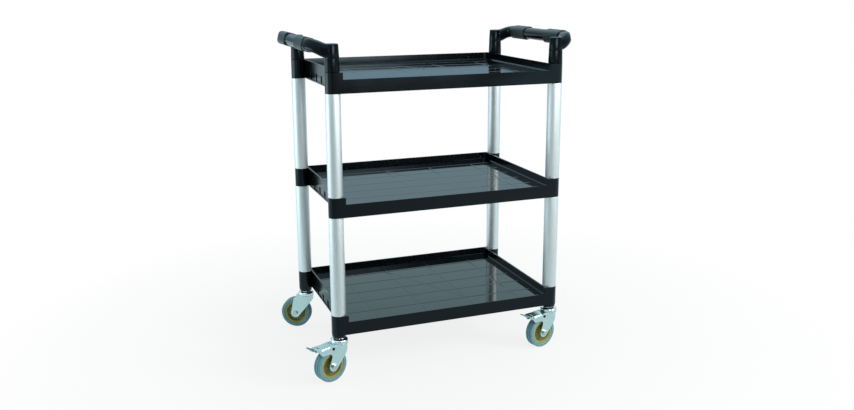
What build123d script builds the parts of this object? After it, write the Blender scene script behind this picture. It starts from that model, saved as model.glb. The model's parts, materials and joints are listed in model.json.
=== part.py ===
"""Three-tier service cart: moulded shelves, tube posts, push handles and swivel casters.

The frame has +Z up, X along the shelves, the open shelf front at -Y, and its origin on the
floor midway between the four posts. All sizes are in millimetres.
"""

import os
from math import atan2, cos, degrees, hypot, radians, sin, sqrt

from build123d import *

# Layout of the posts and tiers
POST_SPACING_X = 612
POST_SPACING_Y = 378
TIER_PITCH = 312

# Tube posts and the spigots they slip over
TUBE_OD = 38
TUBE_WALL = 1.5
SPIGOT_CLEARANCE = 0.2
SPIGOT_LENGTH = 40
SPIGOT_RIB = 6

# Shelf moulding
SHELF_HEIGHT = 52
FLOOR_TOP = 31
FLOOR_THICKNESS = 3
FRONT_LIP = 3.5
SIDE_WALL = 4
END_WALL = 5
END_INSET = 17
WALL_DRAFT = 2
TRAY_CORNER = 8

# Ribs under the tray floor
RIB_THICKNESS = 2.5
RIB_DEPTH = 12
LONG_RIBS = 5
LONG_RIB_PITCH = 72
CROSS_RIBS = 4
CROSS_RIB_PITCH = 136

# Ribbed panels sunk in the lower half of the shelf ends
PANEL_LENGTH = 222
PANEL_HEIGHT = 20
PANEL_RISE = 4
PANEL_DEPTH = 2
PANEL_RIBS = 3
PANEL_RIB_WIDTH = 6
PANEL_RIB_PITCH = 54

# Push handles
HANDLE_SPIGOT_OD = 26
HANDLE_SPIGOT_LENGTH = 30
LEG_HEIGHT = 69
LEG_TAPER = 1
LEG_EDGE = 4
LEG_GROOVE = 1.5
GRIP_OFFSET = 47
GRIP_RISE = 13.5
GRIP_WIDTH = 33
GRIP_HEIGHT = 33
GRIP_EDGE = 10
BAND_LENGTH = 84
BAND_STEP = 2

# Wheel
WHEEL_DIAMETER = 88
TYRE_WIDTH = 26
TYRE_SHOULDER = 3
RIM_DIAMETER = 66
RIM_WIDTH = 22
RIM_WALL = 4
HUB_WEB = 6
HUB_BOSS_DIAMETER = 22
HUB_BOSS_LENGTH = 28

# Axle
BOLT_DIAMETER = 8
BOLT_HEAD_FLATS = 13
BOLT_HEAD_HEIGHT = 5.5
NUT_HEIGHT = 6.5
BOLT_END = 1.5
RUNNING_CLEARANCE = 0.05

# Pressed fork
CASTER_TRAIL = 30
CROWN_GAP = 9.5
FORK_SHEET = 2.5
FORK_GAP = 30
FORK_BACK = 21.5
FORK_BACK_DEPTH = 14
FORK_FRONT = 4
FORK_FRONT_DROP = 10
AXLE_BOSS_DIAMETER = 26

# Swivel head
HEAD_DIAMETER = 46
HEAD_HEIGHT = 9.9
HEAD_EDGE = 4
SWIVEL_GAP = 0.1
STEM_DIAMETER = 12
STEM_INSERT = 30
FOOT_HEIGHT = 4
FOOT_GAP = 0.3
HEX_FLATS = 19
HEX_HEIGHT = 3

# Plastic socket that holds the stem in the corner post
SOCKET_OD = 24
SOCKET_LENGTH = 36
FLANGE_HEIGHT = 9
FLANGE_INSET = 0.5
FLANGE_TAPER = 2

# Wheel brake
ARM_REACH = 43.5
ARM_TOP_DROP = 4.5
ARM_DEPTH = 15
ARM_NOSE = 10
ARM_TIP = 3
ARM_FILLET = 8
PIN_DIAMETER = 5
PIN_LIFT = 4.5
PIN_HEAD_DIAMETER = 8
PIN_HEAD_HEIGHT = 1.2
PEDAL_SHEET = 1.5
PEDAL_SIDE_GAP = 0.4
PEDAL_BACK_GAP = 3
PEDAL_DROP = 0.5
PEDAL_REACH = 46
PEDAL_FLANGE = 11
FLANGE_FRONT = 6
PEDAL_TRAVEL = 8
TOE_REACH = 64
TOE_RISE = 4.5
TOE_WIDTH = 34
TOE_NECK = 17
TOE_FLARE = 8
TOE_CORNER = 5
SLOT_LENGTH = 14
SLOT_WIDTH = 5
TAB_DEPTH = 7
SHOE_LENGTH = 12
SHOE_WIDTH = 18
SHOE_REACH = 24
SHOE_GAP = 0.6

# Direction in which each wheel trails its stem, in degrees from +X
SWIVEL_ANGLES = {
    "front_left": 200,
    "front_right": 194.5,
    "back_left": 152,
    "back_right": 165,
}
CORNERS = {
    "front_left": (-1, -1),
    "front_right": (1, -1),
    "back_left": (-1, 1),
    "back_right": (1, 1),
}
BRAKED = ("front_left", "front_right")

# Heights of the caster above the floor, from the wheel up
axle_height = WHEEL_DIAMETER / 2
crown_bottom = WHEEL_DIAMETER + CROWN_GAP
crown_top = crown_bottom + FORK_SHEET
race_bottom = crown_top + SWIVEL_GAP
race_top = race_bottom + HEAD_HEIGHT
hex_top = race_top + HEX_HEIGHT
shelf_base = hex_top + FLANGE_HEIGHT

# Plan sizes of the shelf and heights of the tiers
tray_length = POST_SPACING_X - 2 * END_INSET
tray_depth = POST_SPACING_Y + TUBE_OD
pocket_length = tray_length - 2 * END_WALL
pocket_depth = tray_depth - 2 * SIDE_WALL
floor_bottom = FLOOR_TOP - FLOOR_THICKNESS
tube_length = TIER_PITCH - SHELF_HEIGHT
top_base = shelf_base + 2 * TIER_PITCH
handle_base = top_base + SHELF_HEIGHT

# Radii of the tubes and of what stands flush with them
tube_radius = TUBE_OD / 2
leg_top_radius = tube_radius - LEG_TAPER
flange_radius = tube_radius - FLANGE_INSET
spigot_radius = tube_radius - TUBE_WALL - SPIGOT_CLEARANCE
post_points = [(sx * POST_SPACING_X / 2, sy * POST_SPACING_Y / 2) for sx, sy in CORNERS.values()]

# Fork and brake places in the caster's own frame: swivel axis on Z, wheel trailing along +X
fork_width = FORK_GAP + 2 * FORK_SHEET
pivot_height = WHEEL_DIAMETER + PIN_LIFT
pedal_bottom = crown_bottom + PEDAL_DROP
pedal_top = pedal_bottom + PEDAL_SHEET
pedal_width = FORK_GAP - 2 * PEDAL_SIDE_GAP
pedal_back = HEAD_DIAMETER / 2 + PEDAL_BACK_GAP
pedal_front = CASTER_TRAIL + PEDAL_REACH
toe_tip = CASTER_TRAIL + TOE_REACH


def write(piece, name):
    """Label a finished piece and write it to its own file."""
    piece.label = name
    export_step(piece, f"parts/{name}.step")


def build_shelf(base, spigots, sockets=False):
    """One shelf: an open-front tray on a ribbed skirt, with a corner post at each end of its sides.

    Each spigot is (start height, length, radius); sockets take the casters from below.
    """
    with BuildPart() as shelf:
        # outer block, with webs from the long walls to the post axes
        with BuildSketch(Plane.XY.offset(base)):
            Rectangle(tray_length, tray_depth)
            with GridLocations(tray_length + END_INSET, tray_depth - tube_radius, 2, 2):
                Rectangle(END_INSET, tube_radius)
            with Locations(*post_points):
                Circle(tube_radius)
        extrude(amount=SHELF_HEIGHT)
        # tray above the floor and hollow below it, both drafted
        with BuildSketch(Plane.XY.offset(base + FLOOR_TOP)):
            RectangleRounded(pocket_length, pocket_depth, TRAY_CORNER)
        extrude(amount=SHELF_HEIGHT - FLOOR_TOP, taper=-WALL_DRAFT, mode=Mode.SUBTRACT)
        with BuildSketch(Plane.XY.offset(base)):
            Rectangle(pocket_length, pocket_depth)
        extrude(amount=floor_bottom, taper=WALL_DRAFT, mode=Mode.SUBTRACT)
        # the front is open above a low lip
        with BuildSketch(Plane.XY.offset(base + FLOOR_TOP + FRONT_LIP)):
            with Locations((0, -tray_depth / 2)):
                Rectangle(pocket_length, 2 * (SIDE_WALL + TRAY_CORNER))
        extrude(amount=SHELF_HEIGHT - FLOOR_TOP - FRONT_LIP, mode=Mode.SUBTRACT)
        # long, cross and diagonal ribs under the floor
        with BuildSketch(Plane.XY.offset(base + floor_bottom - RIB_DEPTH)):
            with GridLocations(0, LONG_RIB_PITCH, 1, LONG_RIBS):
                Rectangle(tray_length - END_WALL, RIB_THICKNESS)
            with GridLocations(CROSS_RIB_PITCH, 0, CROSS_RIBS, 1):
                Rectangle(RIB_THICKNESS, tray_depth - SIDE_WALL)
            diagonal = hypot(CROSS_RIB_PITCH, 2 * LONG_RIB_PITCH)
            slant = degrees(atan2(2 * LONG_RIB_PITCH, CROSS_RIB_PITCH))
            Rectangle(diagonal, RIB_THICKNESS, rotation=slant)
            Rectangle(diagonal, RIB_THICKNESS, rotation=-slant)
        extrude(amount=RIB_DEPTH + FLOOR_THICKNESS / 2)
        # sunk panels with upright ribs on both ends
        for end in (-1, 1):
            with BuildSketch(Plane.YZ.offset(end * tray_length / 2)):
                with Locations((0, base + PANEL_RISE + PANEL_HEIGHT / 2)):
                    Rectangle(PANEL_LENGTH, PANEL_HEIGHT)
                    with GridLocations(PANEL_RIB_PITCH, 0, PANEL_RIBS, 1):
                        Rectangle(PANEL_RIB_WIDTH, PANEL_HEIGHT, mode=Mode.SUBTRACT)
            extrude(amount=-end * PANEL_DEPTH, mode=Mode.SUBTRACT)
        # cross-ribbed spigots on the corner posts, and sockets in them
        for start, length, radius in spigots:
            span = 2 * sqrt(radius**2 - (SPIGOT_RIB / 2) ** 2)
            with BuildSketch(Plane.XY.offset(base + start)):
                with Locations(*post_points):
                    Rectangle(span, SPIGOT_RIB)
                    Rectangle(SPIGOT_RIB, span)
            extrude(amount=length)
        if sockets:
            with BuildSketch(Plane.XY.offset(base)):
                with Locations(*post_points):
                    Circle(SOCKET_OD / 2 + RUNNING_CLEARANCE)
            extrude(amount=SOCKET_LENGTH + RUNNING_CLEARANCE, mode=Mode.SUBTRACT)
    return shelf.part


def build_post(base, corner):
    """One tube between two shelves, on the axis of a corner."""
    sx, sy = CORNERS[corner]
    with BuildPart() as post:
        with BuildSketch(Plane.XY.offset(base)):
            with Locations((sx * POST_SPACING_X / 2, sy * POST_SPACING_Y / 2)):
                Circle(tube_radius)
                Circle(tube_radius - TUBE_WALL, mode=Mode.SUBTRACT)
        extrude(amount=tube_length)
    return post.part


def build_handle():
    """The right push handle: two legs, round arms and a grip with two raised bands outside the shelf's end."""
    leg_x = POST_SPACING_X / 2
    leg_y = POST_SPACING_Y / 2
    arm_height = handle_base + LEG_HEIGHT - GRIP_HEIGHT / 2
    # the middle line of the arms and the grip lies in a plane that rises from the legs outwards
    bow = Plane(
        origin=(leg_x, 0, arm_height),
        x_dir=(GRIP_OFFSET, 0, GRIP_RISE),
        z_dir=(-GRIP_RISE, 0, GRIP_OFFSET),
    )
    reach = hypot(GRIP_OFFSET, GRIP_RISE)
    bend_y = leg_y - reach
    leg = Plane(origin=(leg_x, leg_y, handle_base), x_dir=(1, 0, 0), z_dir=(0, -1, 0))
    with BuildPart() as handle:
        with BuildSketch(leg) as half:
            with BuildLine():
                Polyline(
                    (0, 0),
                    (tube_radius - LEG_GROOVE, 0),
                    (tube_radius, LEG_GROOVE),
                    (leg_top_radius, LEG_HEIGHT),
                    (0, LEG_HEIGHT),
                    close=True,
                )
            make_face()
            chamfer(half.vertices().sort_by_distance((leg_top_radius, LEG_HEIGHT))[0], LEG_EDGE)
        revolve(axis=Axis((leg_x, leg_y, 0), (0, 0, 1)))
        # raised band on the grip, sloped off at both ends
        with BuildSketch(Plane.XZ.offset(-bend_y)):
            with Locations((leg_x + GRIP_OFFSET, arm_height + GRIP_RISE)):
                RectangleRounded(GRIP_WIDTH + 2 * BAND_STEP, GRIP_HEIGHT + 2 * BAND_STEP, GRIP_EDGE + BAND_STEP)
        band = extrude(amount=BAND_LENGTH)
        chamfer(band.faces().filter_by(Axis.Y).edges(), BAND_STEP)
        mirror(about=Plane.XZ)
        with BuildLine(bow) as path:
            CenterArc((0, -bend_y), reach, -90, 90)
            Line((reach, -bend_y), (reach, bend_y))
            CenterArc((0, bend_y), reach, 0, 90)
        with BuildSketch(Plane(origin=(leg_x, -leg_y, arm_height), x_dir=(0, 1, 0), z_dir=(1, 0, 0))):
            RectangleRounded(GRIP_WIDTH, GRIP_HEIGHT, GRIP_EDGE)
        # a guide above the middle line keeps the section upright
        spine = path.wires()[0]
        sweep(path=spine, binormal=spine.moved(Location((0, 0, GRIP_HEIGHT))))
        with BuildSketch(Plane.XY.offset(handle_base)):
            with Locations((leg_x, -leg_y), (leg_x, leg_y)):
                Circle(HANDLE_SPIGOT_OD / 2 + SPIGOT_CLEARANCE)
        extrude(amount=HANDLE_SPIGOT_LENGTH + SPIGOT_CLEARANCE, mode=Mode.SUBTRACT)
    return handle.part


def across(x, y, z):
    """Plane across a caster at a point, facing along its axle."""
    return Plane(origin=(x, y, z), x_dir=(1, 0, 0), z_dir=(0, 1, 0))


def build_socket():
    """Plastic plug in a corner post, with a tapered flange below the shelf and a bore for the stem."""
    with BuildPart() as socket:
        with BuildSketch(Plane.XY.offset(hex_top)):
            Circle(flange_radius - FLANGE_TAPER)
        with BuildSketch(Plane.XY.offset(shelf_base)):
            Circle(flange_radius)
        loft()
        with BuildSketch(Plane.XY.offset(shelf_base)):
            Circle(SOCKET_OD / 2)
        extrude(amount=SOCKET_LENGTH)
        with BuildSketch(Plane.XY.offset(hex_top)):
            Circle(STEM_DIAMETER / 2 + RUNNING_CLEARANCE)
        extrude(amount=FLANGE_HEIGHT + STEM_INSERT + RUNNING_CLEARANCE, mode=Mode.SUBTRACT)
    return socket.part


def build_stem():
    """Swivel stem: nut under the fork's crown, rod and hexagon."""
    foot = crown_bottom - FOOT_GAP - FOOT_HEIGHT
    with BuildPart() as stem:
        with BuildSketch(Plane.XY.offset(foot)):
            RegularPolygon(HEX_FLATS / 2, 6, major_radius=False)
        extrude(amount=FOOT_HEIGHT)
        with BuildSketch(Plane.XY.offset(foot)):
            Circle(STEM_DIAMETER / 2)
        extrude(amount=shelf_base + STEM_INSERT - foot)
        with BuildSketch(Plane.XY.offset(race_top)):
            RegularPolygon(HEX_FLATS / 2, 6, major_radius=False)
        extrude(amount=HEX_HEIGHT)
    return stem.part


def build_race():
    """Upper race: the round cap on which the fork's crown turns."""
    with BuildPart() as race:
        with BuildSketch(Plane.XY.offset(race_bottom)):
            Circle(HEAD_DIAMETER / 2)
        extrude(amount=HEAD_HEIGHT)
        chamfer(race.edges().group_by(Axis.Z)[-1], HEAD_EDGE)
        with BuildSketch(Plane.XY.offset(race_bottom)):
            Circle(STEM_DIAMETER / 2 + RUNNING_CLEARANCE)
        extrude(amount=HEAD_HEIGHT, mode=Mode.SUBTRACT)
    return race.part


def build_fork(braked):
    """Pressed fork: half-round back, two cheeks, a crown with its race, and arms where it has a brake."""
    back_centre = fork_width / 2 - FORK_BACK
    length = toe_tip - back_centre
    crown_front = pedal_back - PEDAL_BACK_GAP / 2 if braked else HEAD_DIAMETER / 2
    with BuildPart() as fork:
        with BuildSketch():
            with Locations((back_centre, 0)):
                Circle(fork_width / 2)
                Rectangle(length, fork_width, align=(Align.MIN, Align.CENTER))
        extrude(amount=crown_top)
        # side view: a hull from the crown to the axle boss, and the brake arm
        with BuildSketch(Plane.XZ) as side:
            with BuildLine():
                CenterArc((CASTER_TRAIL, axle_height), AXLE_BOSS_DIAMETER / 2, 0, 360)
                Line((-FORK_BACK, crown_top), (crown_front, crown_top))
                Line((-FORK_BACK, crown_top), (-FORK_BACK, crown_top - FORK_BACK_DEPTH))
                if not braked:
                    Line((crown_front, crown_top), (CASTER_TRAIL + FORK_FRONT, crown_top - FORK_FRONT_DROP))
            make_hull()
            if braked:
                arm_top = crown_top - ARM_TOP_DROP
                arm_end = CASTER_TRAIL + ARM_REACH
                with BuildLine():
                    Polyline(
                        (crown_front, crown_top),
                        (arm_end, arm_top),
                        (arm_end, arm_top - ARM_TIP),
                        (arm_end - ARM_NOSE, arm_top - ARM_DEPTH),
                        (crown_front, arm_top - ARM_DEPTH),
                        close=True,
                    )
                make_face()
                corner = (CASTER_TRAIL + ARM_FILLET, arm_top - ARM_DEPTH)
                fillet(side.vertices().sort_by_distance(corner)[0], ARM_FILLET)
        extrude(amount=fork_width, both=True, mode=Mode.INTERSECT)
        # hollow between the cheeks, open above the pedal
        with BuildSketch():
            with Locations((back_centre, 0)):
                Circle(FORK_GAP / 2)
                Rectangle(length, FORK_GAP, align=(Align.MIN, Align.CENTER))
        extrude(amount=crown_bottom, mode=Mode.SUBTRACT)
        if braked:
            with BuildSketch(Plane.XY.offset(crown_bottom)):
                with Locations((crown_front, 0)):
                    Rectangle(length, FORK_GAP, align=(Align.MIN, Align.CENTER))
            extrude(amount=FORK_SHEET, mode=Mode.SUBTRACT)
        # round crown under the race
        with BuildSketch(Plane.XY.offset(crown_bottom)):
            Circle(HEAD_DIAMETER / 2)
        extrude(amount=FORK_SHEET)
        with BuildSketch(Plane.XY.offset(crown_bottom)):
            Circle(STEM_DIAMETER / 2 + RUNNING_CLEARANCE)
        extrude(amount=FORK_SHEET, mode=Mode.SUBTRACT)
        # axle and brake pin holes through both cheeks
        with BuildSketch(across(CASTER_TRAIL, 0, axle_height)):
            Circle(BOLT_DIAMETER / 2 + RUNNING_CLEARANCE)
        extrude(amount=fork_width, both=True, mode=Mode.SUBTRACT)
        if braked:
            with BuildSketch(across(CASTER_TRAIL, 0, pivot_height)):
                Circle(PIN_DIAMETER / 2 + RUNNING_CLEARANCE)
            extrude(amount=fork_width, both=True, mode=Mode.SUBTRACT)
    return fork.part


def build_axle_bolt():
    """Axle bolt with its head on the outer cheek."""
    with BuildPart() as bolt:
        with BuildSketch(across(CASTER_TRAIL, fork_width / 2, axle_height)):
            RegularPolygon(BOLT_HEAD_FLATS / 2, 6, major_radius=False)
        extrude(amount=BOLT_HEAD_HEIGHT)
        with BuildSketch(across(CASTER_TRAIL, fork_width / 2, axle_height)):
            Circle(BOLT_DIAMETER / 2)
        extrude(amount=-(fork_width + NUT_HEIGHT + BOLT_END))
    return bolt.part


def build_axle_nut():
    """Nut on the far cheek."""
    with BuildPart() as nut:
        with BuildSketch(across(CASTER_TRAIL, -fork_width / 2, axle_height)):
            RegularPolygon(BOLT_HEAD_FLATS / 2, 6, major_radius=False)
            Circle(BOLT_DIAMETER / 2 + RUNNING_CLEARANCE, mode=Mode.SUBTRACT)
        extrude(amount=-NUT_HEIGHT)
    return nut.part


wheel_plane = Plane(origin=(CASTER_TRAIL, 0, axle_height))
wheel_axis = Axis((CASTER_TRAIL, 0, axle_height), (0, 1, 0))


def build_hub():
    """Dished wheel hub: a boss on the axle, a web that deepens to the boss, and the rim."""
    bore = BOLT_DIAMETER / 2 + RUNNING_CLEARANCE
    boss = HUB_BOSS_DIAMETER / 2
    rim = RIM_DIAMETER / 2
    with BuildPart() as hub:
        with BuildSketch(wheel_plane):
            with BuildLine():
                Polyline(
                    (bore, 0),
                    (bore, HUB_BOSS_LENGTH / 2),
                    (boss, HUB_BOSS_LENGTH / 2),
                    (boss, HUB_WEB / 2),
                    (rim - RIM_WALL, RIM_WIDTH / 2),
                    (rim, RIM_WIDTH / 2),
                    (rim, 0),
                    close=True,
                )
            make_face()
            mirror(about=Plane.XZ)
        revolve(axis=wheel_axis)
    return hub.part


def build_tyre():
    """Rubber tyre with bevelled shoulders on the hub's rim."""
    rim = RIM_DIAMETER / 2
    with BuildPart() as tyre:
        with BuildSketch(wheel_plane) as half:
            with Locations((rim, 0)):
                Rectangle(axle_height - rim, TYRE_WIDTH, align=(Align.MIN, Align.CENTER))
            chamfer(half.vertices().group_by(Axis.X)[-1], TYRE_SHOULDER)
        revolve(axis=wheel_axis)
    return tyre.part


def build_pin():
    """Rivet on which the brake pedal turns."""
    half = fork_width / 2 + PIN_HEAD_HEIGHT
    with BuildPart() as pin:
        with BuildSketch(across(CASTER_TRAIL, 0, pivot_height)):
            Circle(PIN_DIAMETER / 2)
        extrude(amount=half, both=True)
        for side in (-1, 1):
            with BuildSketch(across(CASTER_TRAIL, side * half, pivot_height)):
                Circle(PIN_HEAD_DIAMETER / 2)
            extrude(amount=-side * PIN_HEAD_HEIGHT)
    return pin.part


def build_pedal():
    """Brake pedal: folded channel on the pin, a flared toe, down-turned tabs and a shoe over the tread."""
    # where the wheel's axis would be if the pedal stood still and the wheel came up to the shoe
    turn = radians(PEDAL_TRAVEL)
    drop = pivot_height - axle_height
    wheel_x = CASTER_TRAIL + drop * sin(turn)
    wheel_z = pivot_height - drop * cos(turn)
    with BuildPart() as pedal:
        # side view of the plate and the toe, trimmed to its plan
        with BuildSketch(Plane.XZ):
            with BuildLine():
                Polyline(
                    (pedal_back, pedal_bottom),
                    (pedal_front, pedal_bottom),
                    (toe_tip, pedal_bottom + TOE_RISE),
                    (toe_tip, pedal_top + TOE_RISE),
                    (pedal_front, pedal_top),
                    (pedal_back, pedal_top),
                    close=True,
                )
            make_face()
        extrude(amount=TOE_WIDTH, both=True)
        with BuildSketch(Plane.XY.offset(pedal_bottom)) as plan:
            with Locations((pedal_back, 0)):
                Rectangle(pedal_front - pedal_back, pedal_width, align=(Align.MIN, Align.CENTER))
            with BuildLine():
                Polyline(
                    (pedal_back, -TOE_NECK / 2),
                    (pedal_front + TOE_FLARE, -TOE_NECK / 2),
                    (toe_tip - TOE_FLARE, -TOE_WIDTH / 2),
                    (toe_tip, -TOE_WIDTH / 2),
                    (toe_tip, TOE_WIDTH / 2),
                    (toe_tip - TOE_FLARE, TOE_WIDTH / 2),
                    (pedal_front + TOE_FLARE, TOE_NECK / 2),
                    (pedal_back, TOE_NECK / 2),
                    close=True,
                )
            make_face()
            fillet(plan.vertices().group_by(Axis.X)[-1], TOE_CORNER)
            with Locations((CASTER_TRAIL + SHOE_REACH + SHOE_LENGTH, 0)):
                SlotOverall(SLOT_LENGTH, SLOT_WIDTH, rotation=90, mode=Mode.SUBTRACT)
        extrude(amount=TOE_RISE + PEDAL_SHEET, mode=Mode.INTERSECT)
        # flanges inside the cheeks and tabs beside the toe
        for side in (-1, 1):
            outer = side * pedal_width / 2
            with BuildSketch(across(0, outer, 0)):
                with BuildLine():
                    Polyline(
                        (pedal_back, -pedal_top),
                        (pedal_front - FLANGE_FRONT, -pedal_top),
                        (CASTER_TRAIL + PEDAL_FLANGE, PEDAL_FLANGE - pedal_top),
                        (pedal_back, PEDAL_FLANGE - pedal_top),
                        close=True,
                    )
                make_face()
            extrude(amount=-side * PEDAL_SHEET)
            with BuildSketch(Plane.XY.offset(pedal_top)):
                with Locations((pedal_front, outer)):
                    tab_align = (Align.MAX, Align.MAX if side > 0 else Align.MIN)
                    Rectangle(PEDAL_SHEET, (pedal_width - TOE_NECK) / 2, align=tab_align)
            extrude(amount=-TAB_DEPTH)
        # shoe, hollowed to lie along the tread when the pedal is down
        with BuildSketch(Plane.XZ):
            with Locations((CASTER_TRAIL + SHOE_REACH, pedal_bottom)):
                Rectangle(SHOE_LENGTH, pedal_bottom - wheel_z, align=(Align.CENTER, Align.MAX))
            with Locations((wheel_x, wheel_z)):
                Circle(axle_height + SHOE_GAP, mode=Mode.SUBTRACT)
        extrude(amount=SHOE_WIDTH / 2, both=True)
        with BuildSketch(across(CASTER_TRAIL, 0, pivot_height)):
            Circle(PIN_DIAMETER / 2 + RUNNING_CLEARANCE)
        extrude(amount=fork_width, both=True, mode=Mode.SUBTRACT)
    return pedal.part


os.makedirs("parts", exist_ok=True)

# Shelves: tube spigots between the tiers, handle spigots on top, caster sockets underneath
up_spigot = (SHELF_HEIGHT, SPIGOT_LENGTH, spigot_radius)
down_spigot = (-SPIGOT_LENGTH, SPIGOT_LENGTH, spigot_radius)
handle_spigot = (SHELF_HEIGHT, HANDLE_SPIGOT_LENGTH, HANDLE_SPIGOT_OD / 2)
write(build_shelf(top_base, [handle_spigot, down_spigot]), "top_shelf")
write(build_shelf(shelf_base + TIER_PITCH, [up_spigot, down_spigot]), "middle_shelf")
write(build_shelf(shelf_base, [up_spigot], sockets=True), "bottom_shelf")

# Posts between the shelves
for tier, name in enumerate(("lower_post", "upper_post")):
    for corner in CORNERS:
        post_base = shelf_base + tier * TIER_PITCH + SHELF_HEIGHT
        write(build_post(post_base, corner), f"{name}_{corner}")

# Handles, one the mirror image of the other
right_handle = build_handle()
with BuildPart() as left_handle:
    mirror(right_handle, about=Plane.YZ)
write(right_handle, "right_handle")
write(left_handle.part, "left_handle")

# Casters, each turned to its own swivel angle
caster_pieces = {
    "caster_socket": build_socket(),
    "caster_stem": build_stem(),
    "caster_race": build_race(),
    "axle_bolt": build_axle_bolt(),
    "axle_nut": build_axle_nut(),
    "wheel_hub": build_hub(),
    "wheel_tyre": build_tyre(),
}
plain_pieces = {"caster_fork": build_fork(braked=False)}
brake_pieces = {
    "caster_fork": build_fork(braked=True),
    "brake_pedal": build_pedal(),
    "brake_pin": build_pin(),
}
for corner, (sx, sy) in CORNERS.items():
    place = Location((sx * POST_SPACING_X / 2, sy * POST_SPACING_Y / 2, 0), (0, 0, SWIVEL_ANGLES[corner]))
    extra = brake_pieces if corner in BRAKED else plain_pieces
    for name, piece in {**caster_pieces, **extra}.items():
        write(piece.moved(place), f"{name}_{corner}")
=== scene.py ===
"""Service cart: fine shapes, finishes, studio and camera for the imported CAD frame.

Every new piece is a parametric surface computed on a grid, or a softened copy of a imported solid, and rides
on the CAD body that carries it. Lengths are in millimetres where nothing else is said. The meshes are in
metres.
"""

import json
import logging
import math
from dataclasses import dataclass
from enum import Enum
from typing import NamedTuple

import bmesh
import bpy
import numpy as np
from mathutils import Matrix, Vector


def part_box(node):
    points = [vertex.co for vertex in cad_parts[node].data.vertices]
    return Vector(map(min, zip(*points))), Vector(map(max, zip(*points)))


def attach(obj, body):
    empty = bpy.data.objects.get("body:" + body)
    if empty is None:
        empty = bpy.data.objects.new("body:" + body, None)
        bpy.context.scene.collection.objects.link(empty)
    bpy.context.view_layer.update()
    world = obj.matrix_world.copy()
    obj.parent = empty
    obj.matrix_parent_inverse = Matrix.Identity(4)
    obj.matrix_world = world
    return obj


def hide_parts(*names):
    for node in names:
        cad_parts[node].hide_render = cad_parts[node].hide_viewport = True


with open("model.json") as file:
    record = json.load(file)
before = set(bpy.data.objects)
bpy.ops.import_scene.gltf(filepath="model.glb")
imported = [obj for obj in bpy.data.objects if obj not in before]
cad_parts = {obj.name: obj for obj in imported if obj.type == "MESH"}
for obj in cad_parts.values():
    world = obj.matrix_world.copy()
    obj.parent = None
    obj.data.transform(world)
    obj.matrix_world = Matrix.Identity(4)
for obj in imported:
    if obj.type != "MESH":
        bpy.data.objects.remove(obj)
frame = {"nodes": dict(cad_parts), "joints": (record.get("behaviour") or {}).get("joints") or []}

MM = 0.001
UP = Vector((0, 0, 1))
LOG = logging.getLogger("service_cart")

Socket = bpy.types.NodeSocket
Object = bpy.types.Object
Triple = tuple[float, float, float]
# A closed outline: radius, height and fillet of each corner, in order.
Section = list[Triple]


class Corner(Enum):
    """Corners of the cart, as the CAD nodes name them."""

    FRONT_LEFT = "front_left"
    FRONT_RIGHT = "front_right"
    BACK_LEFT = "back_left"
    BACK_RIGHT = "back_right"


class Tier(Enum):
    """Shelves, as the CAD nodes name them."""

    BOTTOM = "bottom_shelf"
    MIDDLE = "middle_shelf"
    TOP = "top_shelf"


class Side(Enum):
    """Ends of the cart, with the sign of X on each."""

    LEFT = -1
    RIGHT = 1


class Slot(Enum):
    """Material slots of the record."""

    SHELF = "shelf_plastic"
    HANDLE = "handle_plastic"
    SOCKET = "socket_plastic"
    TUBE = "tube_aluminium"
    BRIGHT = "bright_steel"
    ZINC = "zinc_steel"
    FASTENER = "fastener_steel"
    HUB = "hub_plastic"
    TYRE = "tyre_rubber"


class Crisp(Enum):
    """Angles in degrees above which an edge of a gridded surface stays crisp."""

    PLAIN = 40.0
    MOULDED = 50.0
    SHEET = 60.0


# Shader building


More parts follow.
